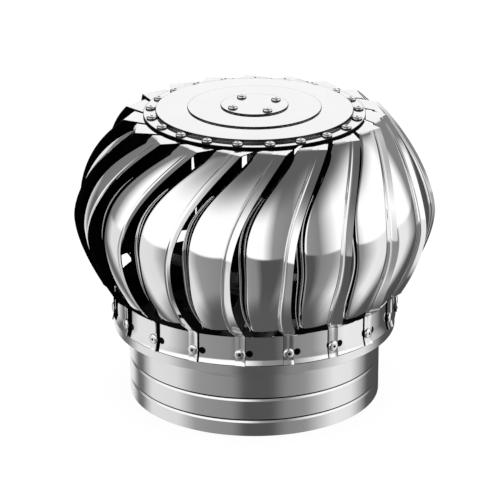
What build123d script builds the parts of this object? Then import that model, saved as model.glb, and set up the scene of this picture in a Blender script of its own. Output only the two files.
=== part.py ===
from build123d import *
from math import cos, pi, radians, sin
import os

# Roof turbine ventilator: a fixed round throat with a shaft on its axis, and a rotor of sheet-metal
# blades between a pressed cap and a lower ring, turning on two ball bearings.
# The origin is the centre of the throat's bottom edge, +Z is the shaft's axis. All sizes in millimetres.

os.makedirs("parts", exist_ok=True)

# Throat
throat_radius = 100.0
throat_sheet = 1.0
groove_heights = (12.8, 31.0)
groove_width = 3.6
groove_depth = 0.6
cove_bottom = 50.0
cove_top = 57.0
collar_lip = 0.8
collar_top = 64.2
upstand_height = 6.8
ring_gap = 0.8

# Lower ring of the rotor, placed from the throat's neck and collar
ring_step = 11.4
ring_sheet = 1.0
ring_height = 23.0
flare_height = 6.0
flare_out = 1.2

# Cap
cap_sheet = 1.2
flange_width = 9.6
flange_height = 231.2
disc_radius = 77.0
disc_rise = 4.0
outer_step_radius = 52.2
inner_step_radius = 26.4
step_rise = 1.5

# Blades
blade_count = 19
blade_sheet = 0.8
first_blade_angle = -171.6
equator_bulge = 31.2
equator_height = 152.0
fold_overhang = 15.8
belly_lift = 8.0
root_bulge = 10.4
bow_power = 1.7
lean_height = 135.0
lean_at_equator = -1.7
lean_at_fold = 19.0
lean_at_root = 1.4
lean_power = 2.7
belly_angle = 15.1
belly_angle_at_root = 16.0
belly_angle_at_fold = 11.8
belly_angle_swell = 2.4
belly_depth = 15.0
belly_depth_at_fold = 8.5
belly_depth_at_root = 10.5
crown = 6.7
crown_at_root = 3.7
crown_least = 0.3
crown_peak = 0.72
crown_half_way = 0.75
rib_width = 3.0
rib_height = 1.3
rib_least = 0.1
rib_fade = 30.0
lip_width = 5.2
lip_width_at_root = 9.0
lip_width_at_fold = 5.4
hem_width = 0.8
hem_rise = 4.6
hem_least = 0.5
hem_fade = 6.0
hem_drop = 21.6
ring_tab_width = 7.6
ring_tab_angle = 0.2
cap_tab_turn = 36.0
cap_tab_reach = 30.0
cap_tab_end = 0.62
slope_step = 1.0
first_station = 120.0
station_spacing = 28.0
station_count = 4

# Rivets and screws
cap_rivet_count = 21
cap_rivet_inset = 5.4
cap_rivet_angle = 89.6
ring_rivet_rise = 9.2
rivet_head_radius = 4.2
rivet_head_height = 2.2
shank_radius = 2.0
rivet_grip = 3.6
screw_circle_radius = 19.5
screw_count = 4
screw_angle = 31.0
screw_head_radius = 3.8
screw_head_height = 2.2
screw_length = 8.0
screw_nut_across_flats = 7.0
screw_nut_height = 3.2
head_taper = 35.0

# Shaft, bearings and their housings
seat_radius = 4.0
shaft_body_radius = 6.0
shaft_flange_radius = 10.0
shaft_flange_height = 4.0
shaft_end = 2.0
bearing_radius = 11.0
bearing_width = 7.0
inner_race_radius = 6.0
race_clearance = 0.1
fit_clearance = 0.05
upper_bearing_drop = 24.0
short_spacer = 2.0
nut_across_flats = 13.0
nut_height = 6.5
washer_radius = 8.5
washer_height = 1.6
housing_wall = 2.0
housing_floor = 2.0
housing_lip = 1.7
housing_flange_width = 34.0
housing_rivet_tail = 1.0

# Brackets
bracket_height = 46.0
base_bracket_sheet = 2.5
base_hub_radius = 18.0
base_foot_height = 14.0
rotor_bracket_sheet = 2.0
rotor_hub_radius = 26.0
rotor_foot_height = 10.0
arm_count = 3
arm_width = 14.0
arm_angle = 20.0

# Heights and radii that follow from the sizes above
ring_radius = throat_radius + ring_step
ring_bottom = collar_top + ring_gap
ring_top = ring_bottom + ring_height
collar_radius = ring_radius + collar_lip
upstand_top = collar_top + upstand_height
upstand_radius = ring_radius - ring_sheet - ring_gap
flange_radius = disc_radius + flange_width
flange_underside = flange_height - cap_sheet
fold_height = flange_underside - blade_sheet / 2
fold_radius = flange_radius + fold_overhang
equator_radius = ring_radius + equator_bulge
root_radius = ring_radius + root_bulge
belly_bottom = ring_top + belly_lift
hem_top = fold_height - hem_drop
cap_rivet_radius = flange_radius - cap_rivet_inset
ring_rivet_height = ring_bottom + ring_rivet_rise
disc_height = flange_height + disc_rise
outer_step_height = disc_height + step_rise
top_height = outer_step_height + step_rise
top_underside = top_height - cap_sheet
bracket_top = bracket_height + base_bracket_sheet
lower_bearing_height = ring_top + housing_floor
upper_bearing_height = top_underside - upper_bearing_drop
housing_radius = bearing_radius + housing_wall
housing_opening = bearing_radius - housing_lip
lower_washer_height = bracket_height - washer_height
lower_nut_height = lower_washer_height - nut_height
upper_spacer_height = upper_bearing_height + bearing_width
upper_washer_height = upper_spacer_height + short_spacer
upper_nut_height = upper_washer_height + washer_height
shaft_bottom = lower_nut_height - shaft_end
shaft_top = upper_nut_height + nut_height + shaft_end
blade_pitch = 360.0 / blade_count
rotor_bracket_height = ring_top - rotor_bracket_sheet
ring_inside = ring_radius - ring_sheet
throat_inside = throat_radius - throat_sheet


def finish(piece, name):
    """Labels a piece, writes it and says what it measures."""
    piece.part.label = name
    export_step(piece.part, f"parts/{name}.step")
    solids = len(piece.part.solids())
    print(f"{name}: valid {piece.part.is_valid}, solids {solids}, volume {piece.part.volume:.1f}")


def polar(radius, degrees, height):
    """A point from its radius, its angle about the shaft and its height."""
    return Vector(radius * cos(radians(degrees)), radius * sin(radians(degrees)), height)


# Throat: a grooved neck, a cove up to the collar, and an upstand inside the rotor's ring
with BuildPart() as throat:
    with BuildSketch(Plane.XZ):
        with BuildLine():
            outside = [(throat_radius, 0)]
            for groove in groove_heights:
                outside.append((throat_radius, groove - groove_width / 2))
                outside.append((throat_radius - groove_depth, groove))
                outside.append((throat_radius, groove + groove_width / 2))
            outside.append((throat_radius, cove_bottom))
            outside.append((collar_radius, cove_top))
            outside.append((collar_radius, collar_top))
            outside.append((upstand_radius, collar_top))
            outside.append((upstand_radius, upstand_top))
            inside = [
                (upstand_radius - throat_sheet, upstand_top),
                (upstand_radius - throat_sheet, cove_top),
                (throat_inside, cove_bottom + throat_sheet),
                (throat_inside, 0),
            ]
            Polyline(*outside, *inside, close=True)
        make_face()
    revolve(axis=Axis.Z)
finish(throat, "throat")

# Lower ring: a plain hoop whose bottom edge flares over the collar
with BuildPart() as lower_ring:
    with BuildSketch(Plane.XZ):
        with BuildLine():
            Polyline(
                (ring_radius, ring_top),
                (ring_radius, ring_bottom + flare_height),
                (ring_radius + flare_out, ring_bottom),
                (ring_inside + flare_out, ring_bottom),
                (ring_inside, ring_bottom + flare_height),
                (ring_inside, ring_top),
                close=True,
            )
        make_face()
    revolve(axis=Axis.Z)
finish(lower_ring, "lower_ring")

# Cap: one pressed sheet, its underside a sheet's thickness inside the top
with BuildPart() as cap:
    with BuildSketch(Plane.XZ):
        with BuildLine():
            Polyline(
                (0, top_height),
                (inner_step_radius, top_height),
                (inner_step_radius, outer_step_height),
                (outer_step_radius, outer_step_height),
                (outer_step_radius, disc_height),
                (disc_radius, disc_height),
                (disc_radius, flange_height),
                (flange_radius, flange_height),
                (flange_radius, flange_underside),
                (disc_radius - cap_sheet, flange_underside),
                (disc_radius - cap_sheet, disc_height - cap_sheet),
                (outer_step_radius - cap_sheet, disc_height - cap_sheet),
                (outer_step_radius - cap_sheet, outer_step_height - cap_sheet),
                (inner_step_radius - cap_sheet, outer_step_height - cap_sheet),
                (inner_step_radius - cap_sheet, top_underside),
                (0, top_underside),
                close=True,
            )
        make_face()
    revolve(axis=Axis.Z)
finish(cap, "cap")


# Blade surface: the outer edge follows the round outline and leans forward towards the top
def share(height, start, end):
    """How far a height lies from start to end, kept between 0 and 1."""
    return min(max((height - start) / (end - start), 0.0), 1.0)


def edge_radius(height):
    """Radius of the outer edge: it drops from the equator by a power of the distance from it."""
    if height > equator_height:
        part = share(height, equator_height, fold_height)
        return equator_radius - (equator_radius - fold_radius) * part**bow_power
    part = share(height, equator_height, belly_bottom)
    return equator_radius - (equator_radius - root_radius) * part**bow_power


def edge_angle(height):
    """Lean of the outer edge in degrees: least a little below the equator, most at the fold."""
    if height > lean_height:
        part = share(height, lean_height, fold_height)
        return lean_at_equator + (lean_at_fold - lean_at_equator) * part**lean_power
    part = share(height, lean_height, belly_bottom)
    return lean_at_equator + (lean_at_root - lean_at_equator) * part**lean_power


def arch(height, at_root, at_middle, at_fold):
    """A value that runs from at_root over at_middle at the equator to at_fold, as half sine waves."""
    if height > equator_height:
        return at_fold + (at_middle - at_fold) * cos(share(height, equator_height, fold_height) * pi / 2)
    return at_root + (at_middle - at_root) * cos(share(height, equator_height, belly_bottom) * pi / 2)


def bump(height, start, end):
    """Rises from 0 at start to 1 half way and back to 0 at end, as a sine."""
    return sin(pi * share(height, start, end))


def blade_station(height):
    """The plane of one blade section, with X from the outer edge to the valley, and the width there."""
    edge = polar(edge_radius(height), edge_angle(height), height)
    angle = arch(height, belly_angle_at_root, belly_angle, belly_angle_at_fold)
    angle += belly_angle_swell * bump(height, equator_height, fold_height)
    depth = arch(height, belly_depth_at_root, belly_depth, belly_depth_at_fold)
    valley = polar(edge_radius(height) - depth, edge_angle(height) - angle, height)
    upper = height + slope_step
    lower = height - slope_step
    above = polar(edge_radius(upper), edge_angle(upper), upper)
    below = polar(edge_radius(lower), edge_angle(lower), lower)
    across = (valley - edge).normalized()
    outward = (above - below).cross(across).normalized()
    if outward.dot(Vector(edge.X, edge.Y, 0)) < 0:
        outward = outward * -1
    return Plane(origin=edge, x_dir=across, z_dir=across.cross(outward)), (valley - edge).length


def blade_section(height):
    """Corners of one section: lip, rib, crowned belly and upright hem outside, then the same inside."""
    plane, width = blade_station(height)
    lip = arch(height, lip_width_at_root, lip_width, lip_width_at_fold)
    rib_end = lip + rib_width
    rise = rib_least + rib_height * bump(height, belly_bottom - rib_fade, fold_height)
    high = crown_least + arch(height, crown_at_root, crown, 0)
    hem = bump(height, belly_bottom - hem_fade, hem_top)
    peak = rib_end + (width - rib_end) * crown_peak
    belly = [((rib_end + peak) / 2, high * crown_half_way), (peak, high)]
    tip = (width + hem_least + hem_width * hem, hem_least + hem_rise * hem)
    outside = [(0, 0), (lip, 0), (lip + rib_width / 2, rise), (rib_end, 0), *belly, (width, 0), tip]
    inside = [(x, y - blade_sheet) for x, y in [(0, 0), (rib_end, 0), *belly, (width + hem_least, 0)]]
    inside.append((tip[0] + blade_sheet, tip[1]))
    return [plane.from_local_coords(Vector(x, y, 0)) for x, y in outside + inside[::-1]]


def faceted(sections):
    """A closed solid of flat facets between sections with as many corners each."""
    faces = [Face(Wire.make_polygon(sections[0])), Face(Wire.make_polygon(sections[-1]))]
    for lower, upper in zip(sections, sections[1:]):
        for corner, start in enumerate(lower):
            end = lower[corner - 1]
            faces.append(Face(Wire.make_polygon([start, end, upper[corner]])))
            faces.append(Face(Wire.make_polygon([end, upper[corner - 1], upper[corner]])))
    return Solid(Shell(faces))


# One blade. Its belly twists, so its strips are flat facets from section to section
middle_stations = [first_station + step * station_spacing for step in range(station_count)]
station_heights = [belly_bottom, *middle_stations, fold_height]

with BuildPart() as blade_blank:
    add(faceted([blade_section(height) for height in station_heights]))

    # Strip from the belly's foot down to the lower ring
    foot_plane, foot_width = blade_station(belly_bottom)
    strip_width = lip_width_at_root + rib_width
    tab_side = ring_tab_width / 2
    tab_plane = Plane.XY.rotated((0, 0, ring_tab_angle)).offset(ring_top)
    strip_top = [(0, 0), (strip_width, 0), (strip_width, -blade_sheet), (0, -blade_sheet)]
    strip_bottom = [
        (ring_radius + blade_sheet, tab_side),
        (ring_radius + blade_sheet, -tab_side),
        (ring_radius, -tab_side),
        (ring_radius, tab_side),
    ]
    add(
        faceted(
            [
                [foot_plane.from_local_coords(Vector(x, y, 0)) for x, y in strip_top],
                [tab_plane.from_local_coords(Vector(x, y, 0)) for x, y in strip_bottom],
            ]
        )
    )

    # Tab that lies on the lower ring and follows its flare
    with BuildSketch(Plane.XZ.rotated((0, 0, ring_tab_angle))):
        with BuildLine():
            Polyline(
                (ring_radius, ring_top),
                (ring_radius, ring_bottom + flare_height),
                (ring_radius + flare_out, ring_bottom),
                (ring_radius + flare_out + blade_sheet, ring_bottom),
                (ring_radius + blade_sheet, ring_bottom + flare_height),
                (ring_radius + blade_sheet, ring_top),
                close=True,
            )
        make_face()
    extrude(amount=tab_side, both=True)

    # Flat tab under the cap's flange, narrower at its inner end to clear the next blade's tab
    fold_plane, fold_width = blade_station(fold_height)
    fold_start = fold_plane.origin
    fold_line = fold_plane.x_dir * fold_width
    inward = Vector(-fold_start.X, -fold_start.Y, 0).normalized()
    tab_end = fold_start + inward.rotate(Axis.Z, -cap_tab_turn) * cap_tab_reach
    with BuildSketch(Plane.XY.offset(flange_underside - blade_sheet)):
        with BuildLine():
            corners = [fold_start, fold_start + fold_line, tab_end + fold_line * cap_tab_end, tab_end]
            Polyline(*[(corner.X, corner.Y) for corner in corners], close=True)
        make_face()
    extrude(amount=blade_sheet)

for blade_index in range(blade_count):
    with BuildPart() as blade:
        add(blade_blank.part.rotate(Axis.Z, first_blade_angle + blade_index * blade_pitch))
    finish(blade, f"blade_{blade_index + 1:02d}")


def headed_fastener(head_radius, head_height, shank_length):
    """A tapered head that stands on the origin's plane, with a shank below it."""
    with BuildPart() as fastener:
        with BuildSketch():
            RegularPolygon(radius=head_radius, side_count=8)
        extrude(amount=head_height, taper=head_taper)
        with BuildSketch():
            RegularPolygon(radius=shank_radius, side_count=6)
        extrude(amount=-shank_length)
    return fastener.part


# Rivets through the cap's flange and the blade tabs under it
rivet = headed_fastener(rivet_head_radius, rivet_head_height, rivet_grip)
with BuildPart(Plane.XY.offset(flange_height)) as cap_rivets:
    with PolarLocations(cap_rivet_radius, cap_rivet_count, start_angle=cap_rivet_angle):
        add(rivet)
finish(cap_rivets, "cap_rivets")

# One rivet through each blade's tab and the lower ring, its head outwards
with BuildPart(Plane.XY.offset(ring_rivet_height)) as ring_rivets:
    first_ring_rivet = first_blade_angle + ring_tab_angle
    with PolarLocations(ring_radius + blade_sheet, blade_count, start_angle=first_ring_rivet):
        add(rivet, rotation=(0, 90, 0))
finish(ring_rivets, "ring_rivets")


def bracket(height, sheet, hub_radius, bore_radius, reach, foot_height):
    """A flat hub with arms whose ends are folded down against a round wall of radius reach."""
    with BuildPart() as spider:
        with BuildSketch(Plane.XY.offset(height)):
            Circle(hub_radius)
            with PolarLocations(reach / 2, arm_count, start_angle=arm_angle):
                Rectangle(reach, arm_width)
            Circle(bore_radius, mode=Mode.SUBTRACT)
        extrude(amount=sheet)
        with BuildSketch(Plane.XY.offset(height + sheet - foot_height)):
            with PolarLocations(reach - sheet / 2, arm_count, start_angle=arm_angle):
                Rectangle(sheet, arm_width)
        extrude(amount=foot_height)
        with BuildSketch(Plane.XY.offset(height + sheet - foot_height)):
            Circle(reach)
        extrude(amount=foot_height, mode=Mode.INTERSECT)
    return spider


# Bracket across the throat, with the shaft's lower end bolted through its hub
base_bracket = bracket(
    bracket_height,
    base_bracket_sheet,
    base_hub_radius,
    seat_radius + fit_clearance,
    throat_inside - fit_clearance,
    base_foot_height,
)
finish(base_bracket, "base_bracket")

# Bracket inside the rotor's ring, open in the middle for the shaft
rotor_bracket = bracket(
    rotor_bracket_height,
    rotor_bracket_sheet,
    rotor_hub_radius,
    housing_opening,
    ring_inside - fit_clearance,
    rotor_foot_height,
)
finish(rotor_bracket, "rotor_bracket")

# Shaft: threaded foot, flange on the bracket, body, then a long seat for both bearings
with BuildPart() as shaft:
    with BuildSketch(Plane.XZ):
        with BuildLine():
            Polyline(
                (0, shaft_bottom),
                (seat_radius, shaft_bottom),
                (seat_radius, bracket_top),
                (shaft_flange_radius, bracket_top),
                (shaft_flange_radius, bracket_top + shaft_flange_height),
                (shaft_body_radius, bracket_top + shaft_flange_height),
                (shaft_body_radius, lower_bearing_height),
                (seat_radius, lower_bearing_height),
                (seat_radius, shaft_top),
                (0, shaft_top),
                close=True,
            )
        make_face()
    revolve(axis=Axis.Z)
finish(shaft, "shaft")


def collars(outer_radius, inner_radius, spans):
    """Plain round collars about the shaft, one for each pair of bottom and height in spans."""
    with BuildPart() as rings:
        for bottom, height in spans:
            with BuildSketch(Plane.XY.offset(bottom)):
                Circle(outer_radius)
                Circle(inner_radius, mode=Mode.SUBTRACT)
            extrude(amount=height)
    return rings


# Sealed bearings: the outer race carries the shields, which close it down to the inner race
bore = seat_radius + fit_clearance
bearing_spans = [(lower_bearing_height, bearing_width), (upper_bearing_height, bearing_width)]
inner_races = collars(inner_race_radius, bore, bearing_spans)
finish(inner_races, "inner_races")
outer_races = collars(bearing_radius, inner_race_radius + race_clearance, bearing_spans)
finish(outer_races, "outer_races")

# Spacer tubes: a long one between the inner races, a short one that lifts the nut off the shields
long_spacer_bottom = lower_bearing_height + bearing_width
spacer_tubes = collars(
    inner_race_radius,
    bore,
    [(long_spacer_bottom, upper_bearing_height - long_spacer_bottom), (upper_spacer_height, short_spacer)],
)
finish(spacer_tubes, "spacer_tubes")

# Washers and nuts at both ends of the shaft
shaft_washers = collars(
    washer_radius, bore, [(lower_washer_height, washer_height), (upper_washer_height, washer_height)]
)
finish(shaft_washers, "shaft_washers")

with BuildPart() as shaft_nuts:
    for nut_bottom in (lower_nut_height, upper_nut_height):
        with BuildSketch(Plane.XY.offset(nut_bottom)):
            RegularPolygon(radius=nut_across_flats / 2, side_count=6, major_radius=False)
            Circle(bore, mode=Mode.SUBTRACT)
        extrude(amount=nut_height)
finish(shaft_nuts, "shaft_nuts")

# Lower housing: a square flange on the rotor bracket, whose middle is the bearing's floor
with BuildPart() as lower_housing:
    with BuildSketch(Plane.XY.offset(ring_top)):
        Rectangle(housing_flange_width, housing_flange_width, rotation=screw_angle + 45)
        Circle(housing_opening, mode=Mode.SUBTRACT)
    extrude(amount=housing_floor)
    with BuildSketch(Plane.XY.offset(lower_bearing_height)):
        Circle(housing_radius)
        Circle(bearing_radius + fit_clearance, mode=Mode.SUBTRACT)
    extrude(amount=bearing_width + housing_lip)
finish(lower_housing, "lower_housing")

# Upper housing: the same flange under the cap, and a cup that hangs from it and holds the bearing
upper_flange_bottom = top_underside - housing_floor
upper_lip_bottom = upper_bearing_height - housing_lip
with BuildPart() as upper_housing:
    with BuildSketch(Plane.XY.offset(upper_flange_bottom)):
        Rectangle(housing_flange_width, housing_flange_width, rotation=screw_angle + 45)
    extrude(amount=housing_floor)
    with BuildSketch(Plane.XY.offset(upper_lip_bottom)):
        Circle(housing_radius)
    extrude(until=Until.NEXT)
    with BuildSketch(Plane.XY.offset(upper_bearing_height)):
        Circle(bearing_radius + fit_clearance)
    extrude(amount=top_underside - upper_bearing_height, mode=Mode.SUBTRACT)
    with BuildSketch(Plane.XY.offset(upper_lip_bottom)):
        Circle(housing_opening)
    extrude(amount=housing_lip, mode=Mode.SUBTRACT)
finish(upper_housing, "upper_housing")

# Screws through the cap and the upper housing, their nuts, and the lower housing's rivets
with BuildPart(Plane.XY.offset(top_height)) as cap_screws:
    with PolarLocations(screw_circle_radius, screw_count, start_angle=screw_angle):
        add(headed_fastener(screw_head_radius, screw_head_height, screw_length))
finish(cap_screws, "cap_screws")

with BuildPart() as cap_screw_nuts:
    with BuildSketch(Plane.XY.offset(upper_flange_bottom)):
        with PolarLocations(screw_circle_radius, screw_count, start_angle=screw_angle):
            RegularPolygon(radius=screw_nut_across_flats / 2, side_count=6, major_radius=False)
    extrude(amount=-screw_nut_height)
finish(cap_screw_nuts, "cap_screw_nuts")

housing_grip = housing_floor + rotor_bracket_sheet + housing_rivet_tail
with BuildPart(Plane.XY.offset(lower_bearing_height)) as housing_rivets:
    with PolarLocations(screw_circle_radius, screw_count, start_angle=screw_angle):
        add(headed_fastener(screw_head_radius, screw_head_height, housing_grip))
finish(housing_rivets, "housing_rivets")
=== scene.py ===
# %% [markdown]
# # A roof turbine ventilator in polished stainless steel
#
# The object is a wind-driven ventilator: a round neck that stands on a duct, and above it a ball
# of nineteen curved blades under a stepped cap, which the wind turns. The real one is pressed and
# rolled from thin stainless sheet, so nearly everything that we see in it is a reflection. That
# sets the two jobs of this scene: surfaces smooth enough to mirror a studio without ripples, and a
# studio worth mirroring.
#
# The construction model arrives first, as a fixed frame. No piece that is dressed later may grow
# out of it.

# %% Load the frame
import math

import bmesh
import bpy
import numpy as np
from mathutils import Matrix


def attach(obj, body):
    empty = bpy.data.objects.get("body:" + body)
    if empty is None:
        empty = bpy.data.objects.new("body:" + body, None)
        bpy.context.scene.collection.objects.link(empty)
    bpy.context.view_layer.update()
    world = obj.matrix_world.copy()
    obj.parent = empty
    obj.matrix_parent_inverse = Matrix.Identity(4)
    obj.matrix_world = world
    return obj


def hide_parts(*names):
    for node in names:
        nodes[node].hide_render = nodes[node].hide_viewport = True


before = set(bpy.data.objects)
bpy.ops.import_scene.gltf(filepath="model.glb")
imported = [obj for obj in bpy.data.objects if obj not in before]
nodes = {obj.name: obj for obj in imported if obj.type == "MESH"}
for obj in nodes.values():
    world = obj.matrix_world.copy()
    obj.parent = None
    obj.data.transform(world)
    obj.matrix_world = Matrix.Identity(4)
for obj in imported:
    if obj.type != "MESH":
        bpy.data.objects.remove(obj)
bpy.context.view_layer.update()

# %% [markdown]
# ## Camera
#
# The view looks down on the cap by about 21 degrees from far away, so that the ball looks nearly
# the same size near and far. A long lens gives that. The lens follows from how large the object
# stands in the picture: the focal length in pixels, times the sensor's width, over the picture's
# width.

# %% Camera
MM = 0.001
PICTURE_WIDTH = 500
FOCAL_PIXELS = 2644.6
SENSOR_WIDTH = 36.0
AIM = np.array([0.0, 0.0, 0.116])
CAMERA_DISTANCE = 2.1
CAMERA_ELEVATION = math.radians(21.15)
PIXELS_RIGHT_OF_CENTRE = 4.5


def add_camera():
    """Puts the camera on a circle about the aim point and turns it to look there."""
    camera = bpy.data.cameras.new("camera")
    camera.sensor_width = SENSOR_WIDTH
    camera.lens = FOCAL_PIXELS * SENSOR_WIDTH / PICTURE_WIDTH
    camera.shift_x = -PIXELS_RIGHT_OF_CENTRE / PICTURE_WIDTH
    camera.clip_end = 50.0
    holder = bpy.data.objects.new("camera", camera)
    back = CAMERA_DISTANCE * math.cos(CAMERA_ELEVATION)
    up = CAMERA_DISTANCE * math.sin(CAMERA_ELEVATION)
    holder.location = (AIM[0], AIM[1] - back, AIM[2] + up)
    holder.rotation_euler = (math.radians(90) - CAMERA_ELEVATION, 0, 0)
    bpy.context.scene.collection.objects.link(holder)
    bpy.context.scene.camera = holder
    return camera


print("lens in mm:", round(add_camera().lens, 1))

# %% [markdown]
# ## Small helpers for colours and nodes
#
# Colours are written as they look on a screen, in hex, and one function turns them to the linear
# values that the renderer adds up. One more function adds a node, sets its values and links it.

# %% Colour and node helpers


def linear(hex_colour):
    """sRGB hex to linear: each channel over 12.92 if it is tiny, and otherwise a power of 2.4."""
    srgb = [int(hex_colour[i : i + 2], 16) / 255 for i in (1, 3, 5)]
    return tuple(c / 12.92 if c <= 0.04045 else ((c + 0.055) / 1.055) ** 2.4 for c in srgb) + (1.0,)


def node(tree, kind, settings=None, **inputs):
    """Adds a node, sets its properties, and fills or links its inputs by name or by number."""
    new = tree.nodes.new(kind)
    for name, value in (settings or {}).items():
        setattr(new, name, value)
    for name, value in inputs.items():
        key = int(name[1:]) if name[1:].isdigit() else name.replace("_", " ")
        socket = new.inputs[key]
        if isinstance(value, bpy.types.NodeSocket):
            tree.links.new(value, socket)
        else:
            socket.default_value = value
    return new


print("mid grey #808080 is", round(linear("#808080")[0], 3), "linear")

# %% [markdown]
# ## The studio
#
# Polished steel shows the room, not itself. A product photographer stands it on white, sets large
# white panels around it and leaves grey gaps between them. The picture of that room is drawn here
# in the world's shader from the direction of each ray: its azimuth about the object and its
# elevation. Below the horizon lies a dim floor with brighter sides, which the upright walls of the
# neck mirror. Above it stand the white panels. Their gaps lie just right of the camera, behind on
# the right and behind on the left, and shade one flank of each blade. The ceiling is grey, which
# shades the blades' shoulders.
#
# The floor that the camera sees is a separate pale sheet. It takes shadows, but mirrors don't see
# it, so the room's own lower half stays in the reflections.

# %% Studio tones around the object, from the left, past the camera, to the right and the back
HORIZON_SOFTNESS = 0.03
CEILING_START = 0.56
CEILING_END = 0.94
CEILING_TONE = "#5c5c5c"
NADIR_START = -0.78
NADIR_END = -0.97
NADIR_TONE = "#565656"

LOWER_TONES = [
    (-180, "#dcdcdc"),
    (-165, "#dadada"),
    (-146, "#949494"),
    (-110, "#868686"),
    (-99, "#505050"),
    (-74, "#505050"),
    (-61, "#828282"),
    (-42, "#8e8e8e"),
    (-12, "#e8e8e8"),
    (10, "#e4e4e4"),
    (36, "#525252"),
    (80, "#3e3e3e"),
    (104, "#e0e0e0"),
    (118, "#e0e0e0"),
    (134, "#646464"),
    (144, "#646464"),
    (160, "#dedede"),
]
UPPER_TONES = [
    (-180, "#ffffff"),
    (-98, "#ffffff"),
    (-83, "#909090"),
    (-62, "#828282"),
    (-49, "#cccccc"),
    (-35, "#ffffff"),
    (22, "#ffffff"),
    (34, "#808080"),
    (52, "#808080"),
    (64, "#f1f1f1"),
    (102, "#f1f1f1"),
    (113, "#707070"),
    (156, "#7c7c7c"),
    (172, "#ffffff"),
]


def set_stops(ramp, tones):
    """Gives a colour ramp one stop for each tone, its place a share of -180 to 180 degrees."""
    stops = ramp.color_ramp.elements
    while len(stops) > 1:
        stops.remove(stops[-1])
    stops[0].position = (tones[0][0] + 180) / 360
    stops[0].color = linear(tones[0][1])
    for degrees, tone in tones[1:]:
        stops.new((degrees + 180) / 360).color = linear(tone)


def add_world(strength):
    """The studio: two rings of tones, one below and one above the horizon, and a grey ceiling."""
    world = bpy.data.worlds.new("studio")
    bpy.context.scene.world = world
    world.use_nodes = True
    tree = world.node_tree
    tree.nodes.clear()
    direction = node(tree, "ShaderNodeTexCoord").outputs["Generated"]
    axes = node(tree, "ShaderNodeSeparateXYZ", Vector=direction)
    angle = node(
        tree, "ShaderNodeMath", {"operation": "ARCTAN2"}, _0=axes.outputs["Y"], _1=axes.outputs["X"]
    )
    turn = node(
        tree, "ShaderNodeMapRange", Value=angle.outputs[0], From_Min=-math.pi, From_Max=math.pi
    )
    above = node(
        tree,
        "ShaderNodeMapRange",
        {"interpolation_type": "SMOOTHSTEP"},
        Value=axes.outputs["Z"],
        From_Min=-HORIZON_SOFTNESS,
        From_Max=HORIZON_SOFTNESS,
    )
    ceiling = node(
        tree,
        "ShaderNodeMapRange",
        {"interpolation_type": "SMOOTHSTEP"},
        Value=axes.outputs["Z"],
        From_Min=CEILING_START,
        From_Max=CEILING_END,
    )
    nadir = node(
        tree,
        "ShaderNodeMapRange",
        {"interpolation_type": "SMOOTHSTEP"},
        Value=axes.outputs["Z"],
        From_Min=NADIR_START,
        From_Max=NADIR_END,
    )
    lower_ring = node(tree, "ShaderNodeValToRGB", Fac=turn.outputs[0])
    set_stops(lower_ring, LOWER_TONES)
    upper_ring = node(tree, "ShaderNodeValToRGB", Fac=turn.outputs[0])
    set_stops(upper_ring, UPPER_TONES)
    lower = node(
        tree,
        "ShaderNodeMix",
        {"data_type": "RGBA"},
        _0=nadir.outputs[0],
        _6=lower_ring.outputs["Color"],
        _7=linear(NADIR_TONE),
    )
    walls = node(
        tree,
        "ShaderNodeMix",
        {"data_type": "RGBA"},
        _0=above.outputs[0],
        _6=lower.outputs[2],
        _7=upper_ring.outputs["Color"],
    )
    room = node(
        tree,
        "ShaderNodeMix",
        {"data_type": "RGBA"},
        _0=ceiling.outputs[0],
        _6=walls.outputs[2],
        _7=linear(CEILING_TONE),
    )
    background = node(tree, "ShaderNodeBackground", Color=room.outputs[2], Strength=strength)
    output = node(tree, "ShaderNodeOutputWorld")
    tree.links.new(background.outputs[0], output.inputs["Surface"])


WORLD_STRENGTH = 1.22
add_world(WORLD_STRENGTH)
print("studio tones:", len(LOWER_TONES), "below the horizon,", len(UPPER_TONES), "above it")

# %% [markdown]
# The floor is a large matt sheet. A broad soft lamp overhead lights it close to white, a glow of
# its own brings it to the white of the backdrop, and a faint soft shadow stays under the object.
# The lamp is hidden from mirrors, because the panels of the studio already are what the steel
# should show.

# %% Floor and lamp
FLOOR_SIZE = 30.0
FLOOR_TONE = "#f6f6f6"
FLOOR_ROUGHNESS = 0.9
FLOOR_GLOW = 0.93
LAMP_SIZE = 3.0
LAMP_HEIGHT = 3.0
LAMP_WATTS = 170.0


def add_floor():
    """A flat square sheet under the object, matt and nearly white."""
    half = FLOOR_SIZE / 2
    mesh = bpy.data.meshes.new("floor")
    corners = [(-half, -half, 0), (half, -half, 0), (half, half, 0), (-half, half, 0)]
    mesh.from_pydata(corners, [], [(0, 1, 2, 3)])
    floor = bpy.data.objects.new("floor", mesh)
    bpy.context.scene.collection.objects.link(floor)
    paper = bpy.data.materials.new("matt white paper")
    paper.use_nodes = True
    tree = paper.node_tree
    shader = tree.nodes["Principled BSDF"]
    shader.inputs["Base Color"].default_value = linear(FLOOR_TONE)
    shader.inputs["Roughness"].default_value = FLOOR_ROUGHNESS
    rays = node(tree, "ShaderNodeLightPath")
    seen = rays.outputs["Is Camera Ray"]
    for kind in ("Is Glossy Ray", "Is Transmission Ray"):
        ray = rays.outputs[kind]
        seen = node(tree, "ShaderNodeMath", {"operation": "MAXIMUM"}, _0=seen, _1=ray).outputs[0]
    share = node(tree, "ShaderNodeMath", {"operation": "MULTIPLY"}, _0=seen, _1=FLOOR_GLOW)
    glow = node(tree, "ShaderNodeEmission", Color=linear("#ffffff"), Strength=1.0)
    both = node(
        tree,
        "ShaderNodeMixShader",
        _0=share.outputs[0],
        _1=shader.outputs[0],
        _2=glow.outputs[0],
    )
    tree.links.new(both.outputs[0], tree.nodes["Material Output"].inputs["Surface"])
    mesh.materials.append(paper)
    floor.visible_glossy = False


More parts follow.
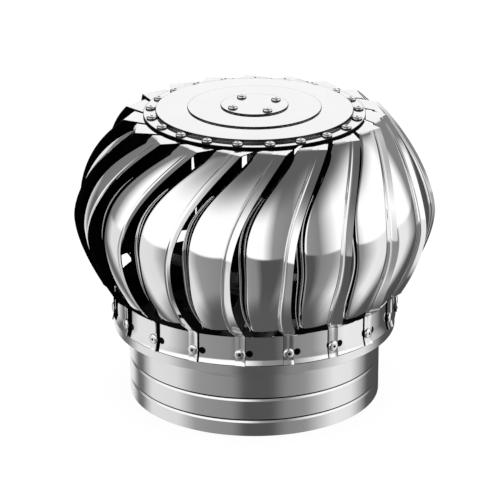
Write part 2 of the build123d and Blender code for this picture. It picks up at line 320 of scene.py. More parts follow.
def add_lamp():
    """A square soft lamp straight above the object."""
    lamp = bpy.data.lights.new("overhead lamp", "AREA")
    lamp.shape = "SQUARE"
    lamp.size = LAMP_SIZE
    lamp.energy = LAMP_WATTS
    holder = bpy.data.objects.new("overhead lamp", lamp)
    holder.location = (0, 0, LAMP_HEIGHT)
    holder.visible_glossy = False
    bpy.context.scene.collection.objects.link(holder)


add_floor()
add_lamp()
bpy.context.scene.view_settings.view_transform = "Standard"
print("floor in metres:", FLOOR_SIZE, "lamp in watts:", LAMP_WATTS)

# %% [markdown]
# ## Finishes and painted shade
#
# The blades, cap and rivets are AISI 304 stainless sheet polished to a mirror. Polishing leaves
# hair-fine scratches and a faint unevenness, so that roughness wavers a little and no highlight is
# quite clean. The bump is far below what the eye reads as a dent. Two more colours are painted
# shade: a near black on inner faces, risers, grooves, holes and cut edges, and a dark grey on the
# cap's riser, fine lines at its edges and the feet of heads. Each piece lists its polish and
# painted shades in one order, and its faces name them by number.
#
# The neck is rolled, which draws its grain out round the shaft and makes it satin. Galvanising
# leaves a mottled mid grey, grinding fine rings on a brighter grey, and zinc plate an even soft
# one. Real scratches and grain are finer than the sizes given here, which are as coarse as they
# need to be to show in the render.

# %% Metal materials
GRIT_MM = 0.35
HAZE_MM = 22.0
HAZE_LOW = 0.3
HAZE_HIGH = 0.7
BUMP_DEPTH_MM = 0.05


def metal(name, tones, roughness, wander, bump, bump_mm, stretch=(1, 1, 1)):
    """A metal whose tone and roughness wander by a soft noise, with a finer noise as its bump."""
    material = bpy.data.materials.new(name)
    material.use_nodes = True
    tree = material.node_tree
    shader = tree.nodes["Principled BSDF"]
    shader.inputs["Metallic"].default_value = 1.0
    place = node(tree, "ShaderNodeTexCoord").outputs["Object"]
    haze = node(tree, "ShaderNodeTexNoise", Vector=place, Scale=1 / (HAZE_MM * MM), Detail=3.0)
    spread = node(
        tree,
        "ShaderNodeMapRange",
        Value=haze.outputs["Fac"],
        From_Min=HAZE_LOW,
        From_Max=HAZE_HIGH,
        To_Min=roughness - wander,
        To_Max=roughness + wander,
    )
    tree.links.new(spread.outputs[0], shader.inputs["Roughness"])
    tint = node(
        tree,
        "ShaderNodeMix",
        {"data_type": "RGBA"},
        _0=haze.outputs["Fac"],
        _6=linear(tones[0]),
        _7=linear(tones[1]),
    )
    tree.links.new(tint.outputs[2], shader.inputs["Base Color"])
    grain_place = node(tree, "ShaderNodeMapping", Vector=place, Scale=stretch)
    grain = node(
        tree,
        "ShaderNodeTexNoise",
        Vector=grain_place.outputs[0],
        Scale=1 / (bump_mm * MM),
        Detail=2.0,
    )
    relief = node(
        tree,
        "ShaderNodeBump",
        Height=grain.outputs["Fac"],
        Strength=bump,
        Distance=BUMP_DEPTH_MM * MM,
    )
    tree.links.new(relief.outputs[0], shader.inputs["Normal"])
    return material


# Name, tones, roughness, its wander, bump, grain in mm, and how rolling or grinding draws it out
polished = metal("polished stainless sheet", ("#e6e6e7", "#eeeeee"), 0.045, 0.015, 0.02, GRIT_MM)
satin = metal(
    "satin rolled stainless", ("#e4e4e5", "#ececec"), 0.15, 0.03, 0.1, 0.5, (0.04, 0.04, 1)
)
# Near black: painted shade for inner faces, risers, grooves, hole insides, cut edges and dots
painted_dark_shade = metal("painted dark shade", ("#080808", "#101010"), 0.55, 0.08, 0.2, 0.8)
# Dark grey: painted shade for the cap's riser, fine lines at its edges and the feet of heads
painted_grey_shade = metal("painted grey shade", ("#3a3a3a", "#444444"), 0.3, 0.05, 0.2, 0.5)
galvanised = metal("hot-dip galvanised steel", ("#6f7173", "#8a8c8e"), 0.4, 0.12, 0.3, 3.0)
ground = metal("ground bearing steel", ("#9c9c9e", "#a8a8a9"), 0.22, 0.04, 0.1, 0.3, (0.1, 0.1, 1))
zinc = metal("bright zinc plate", ("#98999c", "#a6a7a8"), 0.3, 0.06, 0.15, 0.6)
# Polish first, then the two painted shades: near black and dark grey
POLISH_AND_PAINTED_SHADES = [polished, painted_dark_shade, painted_grey_shade]
PAINTED_DARK = 1
PAINTED_GREY = 2
print("materials:", [m.name for m in bpy.data.materials])

# %% [markdown]
# ## From arrays to meshes
#
# Every new piece is a grid of points worked out at once with numpy. Three helpers turn grids into
# pieces: one joins a grid's rows and columns with four-sided faces, one makes a mesh and merges
# its doubles, and one makes an object and marks sharp every edge that folds more than a given
# angle, so that the steel's rounded edges stay smooth and its cut edges crisp.

# %% Mesh helpers
SHARP_FOLD = math.radians(38)
MERGE_MM = 0.002
DEGENERATE_MM = 0.0005


def grid_faces(rows, columns, close_rows=False, close_columns=False, start=0):
    """Corner numbers of the quads between neighbouring rows and columns, which may wrap round."""
    row = np.arange(rows if close_rows else rows - 1)[:, None]
    column = np.arange(columns if close_columns else columns - 1)[None, :]
    next_row = (row + 1) % rows
    next_column = (column + 1) % columns
    corners = [row * columns + column, row * columns + next_column]
    corners += [next_row * columns + next_column, next_row * columns + column]
    corners = [np.broadcast_to(c, (row.size, column.size)) for c in corners]
    return start + np.stack(corners, -1).reshape(-1, 4)


def set_materials(mesh, numbers):
    """Gives each face the material of its number in the piece's list."""
    mesh.polygons.foreach_set("material_index", np.asarray(numbers).astype(np.int32))


def mesh_from(name, points, faces, materials=None):
    """A mesh from points in millimetres, faces and their material numbers, its doubles merged."""
    mesh = bpy.data.meshes.new(name)
    metres = np.asarray(points).reshape(-1, 3) * MM
    mesh.from_pydata(metres.tolist(), [], np.asarray(faces).tolist())
    if materials is not None:
        set_materials(mesh, materials)
    work = bmesh.new()
    work.from_mesh(mesh)
    bmesh.ops.remove_doubles(work, verts=work.verts, dist=MERGE_MM * MM)
    bmesh.ops.dissolve_degenerate(work, edges=work.edges, dist=DEGENERATE_MM * MM)
    bmesh.ops.recalc_face_normals(work, faces=work.faces)
    work.to_mesh(mesh)
    work.free()
    return mesh


def place_piece(name, mesh, body, materials, replaced=()):
    """An object at the origin that rides on a body and shows its mesh smooth, with crisp folds."""
    piece = bpy.data.objects.new(name, mesh)
    bpy.context.scene.collection.objects.link(piece)
    for material in materials:
        mesh.materials.append(material)
    mesh.polygons.foreach_set("use_smooth", [True] * len(mesh.polygons))
    mesh.set_sharp_from_angle(angle=SHARP_FOLD)
    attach(piece, body)
    if replaced:
        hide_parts(*replaced)


print("faces of a 3 by 4 grid:", len(grid_faces(3, 4)))

# %% [markdown]
# ## Turned sheet: cap, ring and neck
#
# The cap is pressed, and the ring and neck are rolled, so each is one profile carried round the
# shaft. A press can't make a sharp corner: every corner of the profile gets a small radius. Just
# outside each radius sit two extra points, which keep the flat stretches truly flat when the
# shading is smoothed, and a mirror shows the smallest error there.

# %% Rounded profiles and turning
GUARD = 0.15
GUARD_SHARE = 0.1
CORNER_SHARE = 0.45


def rounded(points, radius, steps=5):
    """An outline with its corners rounded; a closed one starts and ends half way along a side.

    Each corner gives way to a quadratic curve from a point before it to a point after it, the
    weight of the corner itself being 2t(1 - t). The distance is the radius, or less on short sides.
    A guard point stands close to each end of the curve.
    """
    points = np.asarray(points, float)
    result = [points[:1]]
    t = np.linspace(0, 1, steps)[:, None]
    for before, corner, after in zip(points, points[1:], points[2:]):
        to_before = before - corner
        to_after = after - corner
        length_before = np.linalg.norm(to_before)
        length_after = np.linalg.norm(to_after)
        cut = min(radius, CORNER_SHARE * length_before, CORNER_SHARE * length_after)
        unit_before = to_before / length_before
        unit_after = to_after / length_after
        start = corner + unit_before * cut
        end = corner + unit_after * cut
        curve = start * (1 - t) ** 2 + corner * 2 * t * (1 - t) + end * t**2
        guard = min(GUARD, cut) * GUARD_SHARE
        result += [start[None] + unit_before * guard, curve, end[None] + unit_after * guard]
    result.append(points[-1:])
    return np.concatenate(result)


def turned(name, profile, segments, closed=True):
    """A profile of radius and height carried round the shaft: x = r cos a, y = r sin a, z = z."""
    angle = np.linspace(0, 2 * np.pi, segments, endpoint=False)[:, None]
    radius, height = profile[:, 0][None], profile[:, 1][None]
    points = np.stack([radius * np.cos(angle), radius * np.sin(angle), height + 0 * angle], -1)
    return mesh_from(name, points, grid_faces(segments, len(profile), True, closed))


print("points of one rounded corner:", len(rounded([(0, 0), (1, 0), (1, 1)], GUARD)))

# %% Which faces look where
STEEP = 0.5
INWARDS = -0.3


def face_values(mesh, what):
    """The centres or normals of a mesh's faces as one array."""
    values = np.empty(len(mesh.polygons) * 3, np.float32)
    mesh.polygons.foreach_get(what, values)
    return values.reshape(-1, 3)


def faces_inwards(mesh):
    """True where a face looks at the shaft: its normal points against its centre's direction."""
    centre, normal = face_values(mesh, "center"), face_values(mesh, "normal")
    radius = np.linalg.norm(centre[:, :2], axis=1)
    return (centre[:, :2] * normal[:, :2]).sum(1) < INWARDS * radius


print("a face is steep when its normal rises by less than", STEEP)

# %% Cap
# Radius, upper and lower height of each step
CAP_STEPS = [(26.4, 237.8, 236.7), (52.2, 236.3, 235.2), (77.0, 234.5, 232.1)]
RISER_LEAN = 0.1
RISER_LINE = 0.6
RISER_LINE_FROM = 1.5
EDGE_LINE = 0.4
EDGE_DEPTH = 0.15
CAP_CORNER = 0.12
CAP_RIM = 86.6
CAP_RIM_TOP = 231.7
CAP_SHEET = 1.2
CAP_SEGMENTS = 256

top = [(0.0, CAP_STEPS[0][1])]
for radius, high, low in CAP_STEPS:
    middle = [(radius, high - RISER_LINE)] if high - low > RISER_LINE_FROM else []
    top += [(radius - RISER_LEAN - EDGE_LINE, high), (radius - RISER_LEAN, high)]
    top += [*middle, (radius + RISER_LEAN, low)]
rim = [(CAP_RIM - EDGE_LINE, CAP_RIM_TOP), (CAP_RIM, CAP_RIM_TOP)]
rim += [(CAP_RIM, CAP_RIM_TOP - CAP_SHEET)]
under = [(max(radius - CAP_SHEET, 0.0), height - CAP_SHEET) for radius, height in reversed(top)]
cap_profile = rounded(top + rim + under, CAP_CORNER)
cap_mesh = turned("cap_pressing", cap_profile, CAP_SEGMENTS, closed=False)

# Risers and the underside are painted near black as shade. Below a near-black line at its top the
# disc's riser is painted dark grey as shade, and so is a fine line along each upper edge
steep = face_values(cap_mesh, "normal")[:, 2] < STEEP
centre = face_values(cap_mesh, "center") / MM
height = centre[:, 2]
off_shaft = np.linalg.norm(centre[:, :2], axis=1)
disc_side = (height > CAP_STEPS[-1][2]) & (height < CAP_STEPS[-1][1] - RISER_LINE)
cap_material = steep * PAINTED_DARK
cap_material[steep & disc_side & ~faces_inwards(cap_mesh)] = PAINTED_GREY
for radius, high in [(r, z) for r, z, _ in CAP_STEPS] + [(CAP_RIM, CAP_RIM_TOP)]:
    at_edge = (off_shaft > radius - EDGE_LINE) & (off_shaft < radius)
    cap_material[at_edge & (abs(height - high) < EDGE_DEPTH)] = PAINTED_GREY
set_materials(cap_mesh, cap_material)
place_piece("cap_pressing", cap_mesh, "rotor", POLISH_AND_PAINTED_SHADES, ["cap"])
print("cap profile points:", len(cap_profile))

# %% Lower ring
RING_RADIUS = 111.4
RING_SHEET = 1.0
RING_TOP = 88.0
RING_BOTTOM = 65.0
FLARE_START = 72.5
FLARE_OUT = 1.5
FLARE_POWER = 1.7
FLARE_ROWS = 13
RING_CORNER = 0.2
RIM_FACES = -0.6
ROLLED_SEGMENTS = 256


def flare(height):
    """How far the ring stands out at a height: a power of the way down the flare."""
    down = np.clip((FLARE_START - height) / (FLARE_START - RING_BOTTOM), 0, 1)
    return FLARE_OUT * down**FLARE_POWER


flare_heights = np.linspace(FLARE_START, RING_BOTTOM, FLARE_ROWS)
flare_outside = np.stack([RING_RADIUS + flare(flare_heights), flare_heights], -1)
flare_inside = flare_outside[::-1] - (RING_SHEET, 0)
ring_inside = RING_RADIUS - RING_SHEET
ring_profile = np.concatenate(
    [
        [(RING_RADIUS - RING_CORNER, RING_TOP), (RING_RADIUS, RING_TOP - RING_CORNER)],
        flare_outside,
        flare_inside,
        [(ring_inside, RING_TOP - RING_CORNER), (ring_inside + RING_CORNER, RING_TOP)],
    ]
)
ring_mesh = turned("ring_rolling", ring_profile, ROLLED_SEGMENTS)

# The inner face and faces that look down more than RIM_FACES are painted near black as shade
bottom_rim = face_values(ring_mesh, "normal")[:, 2] < RIM_FACES
set_materials(ring_mesh, PAINTED_DARK * (faces_inwards(ring_mesh) | bottom_rim))
place_piece(
    "ring_rolling", ring_mesh, "rotor", [polished, painted_dark_shade], ["lower_ring"]
)
print("ring profile points:", len(ring_profile))

# %% Neck
NECK_RADIUS = 100.0
NECK_SHEET = 1.0
NECK_GROOVES = (12.8, 31.0)
GROOVE_HALF = 1.8
GROOVE_DEPTH = 0.6
GROOVE_DROP = 1.4
GROOVE_FACES = -0.2
NECK_CORNER = 0.2
COVE_BOTTOM = 50.0
COVE_TOP = 57.0
COLLAR_RADIUS = 112.2
COLLAR_TOP = 64.2
UPSTAND_RADIUS = 109.6
UPSTAND_TOP = 71.0

# Radius and height from the foot, over the grooves and the collar, and back down inside
neck_outline = [(NECK_RADIUS - NECK_SHEET / 2, 0.0), (NECK_RADIUS, 0.0)]
for height in NECK_GROOVES:
    neck_outline += [(NECK_RADIUS, height - GROOVE_HALF), (NECK_RADIUS - GROOVE_DEPTH, height)]
    neck_outline += [(NECK_RADIUS, height + GROOVE_DROP)]
neck_outline += [
    (NECK_RADIUS, COVE_BOTTOM),
    (COLLAR_RADIUS, COVE_TOP),
    (COLLAR_RADIUS, COLLAR_TOP),
    (UPSTAND_RADIUS, COLLAR_TOP),
    (UPSTAND_RADIUS, UPSTAND_TOP),
    (UPSTAND_RADIUS - NECK_SHEET, UPSTAND_TOP),
    (UPSTAND_RADIUS - NECK_SHEET, COVE_TOP),
    (NECK_RADIUS - NECK_SHEET, COVE_BOTTOM + NECK_SHEET),
    (NECK_RADIUS - NECK_SHEET, 0.0),
    (NECK_RADIUS - NECK_SHEET / 2, 0.0),
]
neck_profile = rounded(neck_outline, NECK_CORNER)[:-1]
neck_mesh = turned("neck_rolling", neck_profile, ROLLED_SEGMENTS)

# The inner face is painted near black as shade. So are the collar's top and the upper side of each
# groove, whose faces look down more than GROOVE_FACES: painted shade that reads as dark lines
height = face_values(neck_mesh, "center")[:, 2] / MM
upward = face_values(neck_mesh, "normal")[:, 2]
painted_dark_faces = faces_inwards(neck_mesh) | ((upward > STEEP) & (height > COVE_TOP))
for groove in NECK_GROOVES:
    painted_dark_faces |= (abs(height - groove) < GROOVE_HALF) & (upward < GROOVE_FACES)
set_materials(neck_mesh, PAINTED_DARK * painted_dark_faces)
place_piece("neck_rolling", neck_mesh, "base", [satin, painted_dark_shade], ["throat"])
print("neck profile points:", len(neck_profile))

# %% [markdown]
# ## Blades
#
# A blade is one pressed sheet. Across it, from its outer edge inwards, it has a flat lip, a rib
# that stiffens it, a crowned belly that drops to a valley, and a hem turned outwards along the
# inner edge. Upwards, the section travels along the ball's outline and leans forward, until it is
# folded flat under the cap. Below, the belly is cut off above the ring and only the lip runs on,
# as the tab that the ring's rivet holds.
#
# So a blade is a function of two parameters: how far across the section a point lies, and how
# high. Both run on a grid, and every size in it is worked out for the whole grid at once.

# %% Blade sizes
# Groups of three numbers hold the size at the root, at the equator and at the fold
EQUATOR_RADIUS = 142.3
EQUATOR_HEIGHT = 152.0
FOLD_RADIUS = 102.4
FOLD_HEIGHT = 229.9
BELLY_BOTTOM = 96.0
ROOT_RADIUS = 121.8
BOW_POWER = 1.7
LEAN_HEIGHT = 135.0
LEAN_AT_EQUATOR = -1.7
LEAN_AT_FOLD = 19.0
LEAN_AT_ROOT = 1.4
LEAN_POWER = 2.7
BELLY_ANGLES = (16.0, 15.1, 11.8)
BELLY_SWELL = 2.6
SWELL_START = 140.0
BELLY_DEPTHS = (10.5, 15.0, 8.5)
CROWNS = (3.7, 6.7, 0.0)
CROWN_LEAST = 0.3
CROWN_PEAK = 0.82
LIPS = (9.0, 5.2, 5.4)
RIB = 3.0
RIB_HEIGHT = 1.3
RIB_LEAST = 0.1
RIB_FADE = 30.0
HEM = 0.7
HEM_RISE = 5.4
HEM_LEAST = 0.5
HEM_FADE = 6.0
HEM_TOP = 208.0
SHEET = 0.8
FOLD_FADE = 3.0
SLOPE_STEP = 1.0
print("blade heights in mm:", BELLY_BOTTOM, "to", FOLD_HEIGHT)

# %% Curves along a blade


def part_of(height, start, end):
    """How far a height lies from start to end, kept between 0 and 1."""
    return np.clip((height - start) / (end - start), 0, 1)


def arch(height, at_root, at_middle, at_fold):
    """Quarter cosine waves from the equator's value up to the fold's and down to the root's."""
    up = part_of(height, EQUATOR_HEIGHT, FOLD_HEIGHT) * np.pi / 2
    down = part_of(height, EQUATOR_HEIGHT, BELLY_BOTTOM) * np.pi / 2
    upper = at_fold + (at_middle - at_fold) * np.cos(up)
    lower = at_root + (at_middle - at_root) * np.cos(down)
    return np.where(height > EQUATOR_HEIGHT, upper, lower)


def bump(height, start, end):
    """Half a sine wave from 0 at start over 1 half way to 0 at end."""
    return np.sin(np.pi * part_of(height, start, end))


def edge_radius(height):
    """The outer edge's radius: the equator's, less a power of the distance from the equator."""
    up = part_of(height, EQUATOR_HEIGHT, FOLD_HEIGHT)
    down = part_of(height, EQUATOR_HEIGHT, BELLY_BOTTOM)
    above = (EQUATOR_RADIUS - FOLD_RADIUS) * up**BOW_POWER
    below = (EQUATOR_RADIUS - ROOT_RADIUS) * down**BOW_POWER
    return EQUATOR_RADIUS - np.where(height > EQUATOR_HEIGHT, above, below)


def edge_angle(height):
    """The outer edge's lean in degrees: a power of the way from the least lean up or down."""
    up = part_of(height, LEAN_HEIGHT, FOLD_HEIGHT)
    down = part_of(height, LEAN_HEIGHT, BELLY_BOTTOM)
    above = (LEAN_AT_FOLD - LEAN_AT_EQUATOR) * up**LEAN_POWER
    below = (LEAN_AT_ROOT - LEAN_AT_EQUATOR) * down**LEAN_POWER
    return LEAN_AT_EQUATOR + np.where(height > LEAN_HEIGHT, above, below)


print("outer edge at the fold:", edge_radius(FOLD_HEIGHT), "mm,", edge_angle(FOLD_HEIGHT), "deg")

# %% Section of a blade


def polar(radius, degrees, height):
    """Points from radius, angle about the shaft and height."""
    angle = np.radians(degrees)
    return np.stack(np.broadcast_arrays(radius * np.cos(angle), radius * np.sin(angle), height), -1)


def unit(vectors):
    """Vectors scaled to length one."""
    return vectors / np.linalg.norm(vectors, axis=-1, keepdims=True)


def section_frame(height):
    """For each height: the outer edge's point, the ways across and outwards, and the width."""
    edge = polar(edge_radius(height), edge_angle(height), height)
    angle = arch(height, *BELLY_ANGLES) + BELLY_SWELL * bump(height, SWELL_START, FOLD_HEIGHT) ** 2
    depth = arch(height, *BELLY_DEPTHS)
    valley = polar(edge_radius(height) - depth, edge_angle(height) - angle, height)
    upper, lower = height + SLOPE_STEP, height - SLOPE_STEP
    rise = polar(edge_radius(upper), edge_angle(upper), upper)
    drop = polar(edge_radius(lower), edge_angle(lower), lower)
    across = unit(valley - edge)
    outwards = unit(np.cross(rise - drop, across))
    side = np.sign((outwards * edge * (1, 1, 0)).sum(-1, keepdims=True))
    return edge, across, outwards * side, np.linalg.norm(valley - edge, axis=-1)


def section_point(share, height):
    """A point of the sheet's outer face.

    share runs 0 to 1 over the lip, 1 to 2 over the rib, 2 to 3 over the belly and 3 to 4 over the
    hem. The rib is a raised cosine. The belly rises as 1 - (1 - b/p)^2 to its peak p, and drops
    from there as a quarter cosine to the valley, where the hem stands up and curls over as a
    quarter ellipse. Towards the fold all relief fades by a smooth step, so the fold is straight.
    """
    edge, across, outwards, width = section_frame(height)
    lip = arch(height, *LIPS)
    rib_rise = RIB_LEAST + RIB_HEIGHT * bump(height, BELLY_BOTTOM - RIB_FADE, FOLD_HEIGHT)
    hem = bump(height, BELLY_BOTTOM - HEM_FADE, HEM_TOP)
    belly = np.clip(share - 2, 0, 1)
    strip = np.clip(share - 3, 0, 1)
    x = lip * np.clip(share, 0, 1) + RIB * np.clip(share - 1, 0, 1) + (width - lip - RIB) * belly
    x = x + (HEM_LEAST + HEM * hem) * (1 - np.cos(strip * np.pi / 2))
    rib = rib_rise * (0.5 - 0.5 * np.cos(2 * np.pi * np.clip(share - 1, 0, 1)))
    climb = 1 - (1 - np.minimum(belly / CROWN_PEAK, 1)) ** 2
    fall = np.cos(np.pi / 2 * np.clip((belly - CROWN_PEAK) / (1 - CROWN_PEAK), 0, 1))
    crown = (CROWN_LEAST + arch(height, *CROWNS)) * climb * fall
    y = rib + crown + (HEM_LEAST + HEM_RISE * hem) * np.sin(strip * np.pi / 2)
    flat = part_of(height, FOLD_HEIGHT, FOLD_HEIGHT - FOLD_FADE)
    y = y * flat * flat * (3 - 2 * flat)
    return edge + across * x[..., None] + outwards * y[..., None]


outer_edge = section_point(np.array([0.0]), np.array([EQUATOR_HEIGHT]))
print("outer edge at the equator:", np.round(outer_edge, 1))

# %% [markdown]
# The whole blade is three grids that share their borders: the belly with its lip, rib and hem; the
# flat tab under the cap; and the strip that turns into the ring's tab. A Solidify modifier gives
# the sheet its thickness, and its inner face and cut edges are painted near black as shade. The
# valley at the foot of the hem is painted near black too, as a band of shade, and so is all of the
# hem high up, where it fades out.

# %% One blade as a surface
# How far across the section each column lies, from 0 at the outer edge to 4 at the hem's end
LIP_SHARES = np.linspace(0, 1, 5)
RIB_SHARES = 1 + np.linspace(0, 1, 11)[1:]
BELLY_SHARES = 2 + np.linspace(0, 1, 31)[1:]
HEM_SHARES = 3 + np.linspace(0, 1, 9)[1:]
# Painted near-black shade: a band across the valley at the hem's foot, and the hem high up
VALLEY_PAINTED_DARK = (2.99, 3.2)
HEM_PAINTED_DARK_FROM = 200.0
BLADE_ROWS = 61
TAIL_START = 2.86
TAIL_LENGTH = 4.0
TAB_TURN = 36.0
TAB_REACH = 30.0
TAB_END = 0.62
RING_TAB_HALF = 3.8
RING_TAB_ANGLE = 0.2
TAB_GAP = 0.05
TAB_CROWN = 0.35
TAB_LIFT = 1.2
TAB_ROWS = 5
BLEND_ROWS = 9
TAB_HEIGHTS = np.array([84.0, 80.0, 76.0, 72.0, 71.0, 70.0, 69.0, 68.0, 67.0, 66.0, 65.2])


def cap_tab(fold):
    """The tab under the cap: the fold moved inwards in equal steps and narrowed on the way."""
    outwards = unit(fold[0] * (1, 1, 0))
    turn = math.radians(-TAB_TURN)
    cosine, sine = math.cos(turn), math.sin(turn)
    x, y = outwards[:2]
    along = (x * cosine - y * sine, x * sine + y * cosine, 0)
    reach = np.linspace(0, 1, TAB_ROWS)[:, None, None]
    narrow = 1 - (1 - TAB_END) * reach
    tab = fold[0] + (fold - fold[0]) * narrow - np.array(along) * TAB_REACH * reach
    tab[..., 2] = FOLD_HEIGHT
    return tab


def ring_tab(root):
    """The strip from the belly's root to the ring by a smooth step, and the plate on the ring."""
    side = np.linspace(1, -1, len(root))
    turn = math.radians(RING_TAB_ANGLE)
    tangent = np.array([-math.sin(turn), math.cos(turn), 0])
    radial = np.array([math.cos(turn), math.sin(turn), 0])
    stand_off = TAB_CROWN * (1 - side**2) + TAB_LIFT * np.clip(side, 0, 1) ** 2
    tab_face = RING_RADIUS + SHEET + TAB_GAP
    on_ring = radial * (tab_face + stand_off)[:, None] + tangent * (side * RING_TAB_HALF)[:, None]
    blend = np.linspace(0, 1, BLEND_ROWS)[:, None]
    smooth = (blend * blend * (3 - 2 * blend))[..., None]
    strip = root * (1 - smooth) + on_ring * smooth
    strip[..., 2] = BELLY_BOTTOM - (BELLY_BOTTOM - RING_TOP) * blend
    plate = on_ring + radial * flare(TAB_HEIGHTS)[:, None, None]
    plate[..., 2] = TAB_HEIGHTS[:, None]
    return np.concatenate([strip, plate])


def blade_surface():
    """Points, faces and material numbers of one blade's outer face, its ring rivet at angle 0."""
    shares = np.concatenate([LIP_SHARES, RIB_SHARES, BELLY_SHARES, HEM_SHARES])
    bottom = BELLY_BOTTOM - TAIL_LENGTH * part_of(shares, TAIL_START, HEM_SHARES[-1])
    rows = np.linspace(0, 1, BLADE_ROWS)[:, None]
    height = bottom[None] + (FOLD_HEIGHT - bottom[None]) * rows
    belly = section_point(np.broadcast_to(shares, height.shape), height)
    belly[-1, :, 2] = FOLD_HEIGHT
    root = belly[0, : len(LIP_SHARES) + len(RIB_SHARES)]

    points, faces, start = [], [], 0
    for grid in (belly, cap_tab(belly[-1]), ring_tab(root)):
        faces.append(grid_faces(*grid.shape[:2], start=start))
        points.append(grid.reshape(-1, 3))
        start += len(points[-1])

    middle = (shares[1:] + shares[:-1]) / 2
    # The valley band and the hem high up take the near-black painted shade
    in_valley = (middle > VALLEY_PAINTED_DARK[0]) & (middle < VALLEY_PAINTED_DARK[1])
    hem_gone = (height[:-1, :1] > HEM_PAINTED_DARK_FROM) & (middle > BELLY_SHARES[-1])
    numbers = np.zeros(sum(len(f) for f in faces), int)
    numbers[: len(faces[0])] = PAINTED_DARK * (hem_gone | in_valley).ravel()
    return np.concatenate(points), np.concatenate(faces), numbers


outer_face = blade_surface()
print("one blade's outer face:", len(outer_face[0]), "points")

# %% Sheet thickness


def thickened(mesh, thickness):
    """The mesh given a thickness behind its outer face; inner face and edges take the next slot."""
    holder = bpy.data.objects.new("sheet", mesh)
    bpy.context.scene.collection.objects.link(holder)
    solid = holder.modifiers.new("thickness", "SOLIDIFY")
    solid.thickness = thickness * MM
    solid.offset = -1.0
    solid.use_even_offset = False
    # The inner face and the cut edges take the next slot: the near-black painted shade
    solid.material_offset = 1
    solid.material_offset_rim = 1
    bpy.context.view_layer.update()
    depsgraph = bpy.context.evaluated_depsgraph_get()
    result = bpy.data.meshes.new_from_object(holder.evaluated_get(depsgraph))
    bpy.data.objects.remove(holder)
    return result


blade_sheet = mesh_from("blade_sheet", *outer_face)
facing = sum(p.normal.dot(p.center.normalized()) * p.area for p in blade_sheet.polygons)
if facing < 0:
    blade_sheet.flip_normals()
blade_sheet.materials.append(polished)
blade_sheet.materials.append(painted_dark_shade)
blade_mesh = thickened(blade_sheet, SHEET)
print("one blade:", len(blade_mesh.polygons), "faces")

# %% All the blades
BLADE_COUNT = 19
FIRST_BLADE = -171.6


def turned_copy(mesh, degrees, name):
    """A copy of a mesh turned about the shaft, its points multiplied by the turn's matrix."""
    copy = mesh.copy()
    copy.name = name
    points = np.empty(len(copy.vertices) * 3, np.float32)
    copy.vertices.foreach_get("co", points)
    angle = math.radians(degrees)
    turn = np.array(
        [[math.cos(angle), math.sin(angle), 0], [-math.sin(angle), math.cos(angle), 0], [0, 0, 1]]
    )
    copy.vertices.foreach_set("co", (points.reshape(-1, 3) @ turn).astype(np.float32).ravel())
    copy.update()
    return copy


for index in range(BLADE_COUNT):
    node_name = f"blade_{index + 1:02d}"
    copy = turned_copy(blade_mesh, FIRST_BLADE + index * 360 / BLADE_COUNT, f"{node_name}_sheet")
    place_piece(f"{node_name}_sheet", copy, "rotor", [], [node_name])
print("blades:", BLADE_COUNT)

# %% [markdown]
# ## Rivets and screws
#
# The blades are held by blind rivets. Their domed heads have a hole where the mandrel snapped off,
# its inside painted near black as shade, a dark dot. A head is a profile turned about its own axis,
# then set many times.

# %% Rivet heads
RIVET_RADIUS = 4.2
RIVET_HEIGHT = 2.1
RIVET_EDGE = 0.5
RIVET_TUCK = 0.05
RIVET_HOLE = 1.1
RIVET_HOLE_DEPTH = 1.3
RIVET_HOLE_EDGE = 0.1
DOME_START = 0.12
DOME_POINTS = 9
HEAD_SEGMENTS = 28


def rivet_profile():
    """Radius and height from the hole's floor, over its edge and the dome, down to the sheet."""
    bend = np.linspace(DOME_START, np.pi / 2, DOME_POINTS)
    start = RIVET_HOLE / RIVET_RADIUS
    radius = RIVET_RADIUS * (start + (1 - start) * np.sin(bend))
    height = RIVET_EDGE + (RIVET_HEIGHT - RIVET_EDGE) * np.cos(bend)
    dome = np.stack([radius, height], -1)
    floor = RIVET_HEIGHT - RIVET_HOLE_DEPTH
    hole = [(0.0, floor), (RIVET_HOLE, floor), (RIVET_HOLE, height[0] - RIVET_HOLE_EDGE)]
    foot = [(RIVET_RADIUS - RIVET_TUCK, 0.0), (0.0, 0.0)]
    return np.concatenate([hole, dome, foot])


def heads(name, profile, places, outward, up, hole, foot):
    """The profile turned about an axis that points outward from each place.

    Faces nearer to the axis than hole are painted near black as shade. Others lower than foot are
    painted dark grey, as the shade where a head meets the sheet.
    """
    angle = np.linspace(0, 2 * np.pi, HEAD_SEGMENTS, endpoint=False)[:, None, None]
    side = np.cross(outward, up)
    radius, height = profile[:, 0][None, :, None], profile[:, 1][None, :, None]
    points, faces = [], []
    quads = grid_faces(HEAD_SEGMENTS, len(profile), True)
    for place, axis, u, v in zip(places, outward, side, up):
        head = place + radius * (np.cos(angle) * u + np.sin(angle) * v) + height * axis
        faces.append(quads + len(points) * HEAD_SEGMENTS * len(profile))
        points.append(head.reshape(-1, 3))
    mesh = mesh_from(name, np.concatenate(points), np.concatenate(faces))
    centre = face_values(mesh, "center")[:, None] / MM - places[None]
    along = (centre * outward[None]).sum(-1)
    off_axis = np.linalg.norm(centre - along[..., None] * outward[None], axis=-1)
    near = np.argmin(off_axis + abs(along), axis=1)
    row = np.arange(len(near))
    low = along[row, near] < foot
    set_materials(mesh, np.where(off_axis[row, near] < hole, PAINTED_DARK, PAINTED_GREY * low))
    return mesh


def spots(count, first, radius, height):
    """Places spread evenly round the shaft from a first angle, and the ways outwards and up."""
    angles = first + np.arange(count) * 360 / count
    upwards = np.tile([0.0, 0.0, 1.0], (count, 1))
    return polar(radius, angles, height), polar(1.0, angles, 0.0), upwards


print("rivet profile points:", len(rivet_profile()))

# %% Rivets of the cap
CAP_RIVETS = 21
CAP_RIVET_CIRCLE = 81.2
CAP_RIVET_START = 89.6
CAP_RIVET_FOOT = 0.9

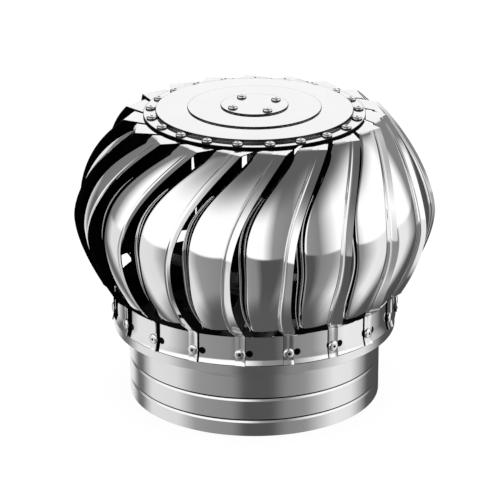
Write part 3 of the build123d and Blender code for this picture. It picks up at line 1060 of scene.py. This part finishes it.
flange = (CAP_STEPS[-1][0], CAP_RIM), (CAP_STEPS[-1][2], CAP_RIM_TOP)
places, outwards, upwards = spots(
    CAP_RIVETS, CAP_RIVET_START, CAP_RIVET_CIRCLE, np.interp(CAP_RIVET_CIRCLE, *flange)
)
place_piece(
    "cap_rivet_heads",
    heads(
        "cap_rivet_heads", rivet_profile(), places, upwards, outwards, RIVET_HOLE, CAP_RIVET_FOOT
    ),
    "rotor",
    POLISH_AND_PAINTED_SHADES,
    ["cap_rivets"],
)
print("cap rivets:", CAP_RIVETS)

# %% Rivets of the ring and the painted dark dots beside them
RING_RIVET_HEIGHT = 74.2
RING_RIVET_FOOT = 0.35
RING_RIVET_START = FIRST_BLADE + RING_TAB_ANGLE
RING_RIVET_SEAT = RING_RADIUS + SHEET + TAB_GAP + TAB_CROWN / 2

places, outwards, upwards = spots(
    BLADE_COUNT, RING_RIVET_START, RING_RIVET_SEAT, RING_RIVET_HEIGHT
)
place_piece(
    "ring_rivet_heads",
    heads(
        "ring_rivet_heads", rivet_profile(), places, outwards, upwards, RIVET_HOLE, RING_RIVET_FOOT
    ),
    "rotor",
    POLISH_AND_PAINTED_SHADES,
    ["ring_rivets"],
)

# Beside each rivet sits a thin disc painted near black as a dark dot, hardly proud of the ring
DOT_ANGLE = 3.6
DOT_RADIUS = 2.8
DOT_PROUD = 0.06

dot_profile = np.array(
    [(0, DOT_PROUD), (DOT_RADIUS, DOT_PROUD), (DOT_RADIUS, -DOT_PROUD), (0, -DOT_PROUD)]
)
places, outwards, upwards = spots(
    BLADE_COUNT, RING_RIVET_START + DOT_ANGLE, RING_RADIUS, RING_RIVET_HEIGHT
)
place_piece(
    "ring_painted_dark_dots",
    heads("ring_painted_dark_dots", dot_profile, places, outwards, upwards, DOT_RADIUS * 2, 0.0),
    "rotor",
    [polished, painted_dark_shade],
)
print("ring rivets and spare holes:", BLADE_COUNT, "each")

# %% Screws of the cap
SCREWS = 4
SCREW_CIRCLE = 19.5
SCREW_START = 31.0
SCREW_RECESS = 0.75
SCREW_FOOT = 1.0

# Radius and height, from the recess over the pan head's dome to the cap
screw_dome = [(1.6, 2.1), (2.7, 1.85), (3.4, 1.35), (3.75, 0.7), (3.8, 0.05)]
screw_profile = np.array([(0, 1.5), (0.7, 1.5), (SCREW_RECESS, 2.05), *screw_dome, (0, 0.0)])
# Inside the recess a screw head is painted near black, and its lower part dark grey, as shade
places, outwards, upwards = spots(SCREWS, SCREW_START, SCREW_CIRCLE, CAP_STEPS[0][1])
place_piece(
    "cap_screw_heads",
    heads("cap_screw_heads", screw_profile, places, upwards, outwards, SCREW_RECESS, SCREW_FOOT),
    "rotor",
    POLISH_AND_PAINTED_SHADES,
    ["cap_screws"],
)
print("cap screws:", SCREWS)

# %% [markdown]
# ## Hidden parts
#
# The shaft, bearings, housings and brackets keep the shape that the construction model gives them.
# They only need a likely finish: galvanised brackets and housings, ground shaft and bearings, and
# zinc on the small fasteners.

# %% Finishes of the construction pieces that stay
FINISH_OF_NODE = {
    "base_bracket": galvanised,
    "rotor_bracket": galvanised,
    "lower_housing": galvanised,
    "upper_housing": galvanised,
    "shaft": ground,
    "inner_races": ground,
    "outer_races": ground,
    "spacer_tubes": ground,
    "shaft_washers": zinc,
    "shaft_nuts": zinc,
    "cap_screw_nuts": zinc,
    "housing_rivets": zinc,
}
for name, finish in FINISH_OF_NODE.items():
    slots = nodes[name].material_slots
    if slots:
        slots[0].material = finish
    else:
        nodes[name].data.materials.append(finish)
print("finished construction pieces:", len(FINISH_OF_NODE))
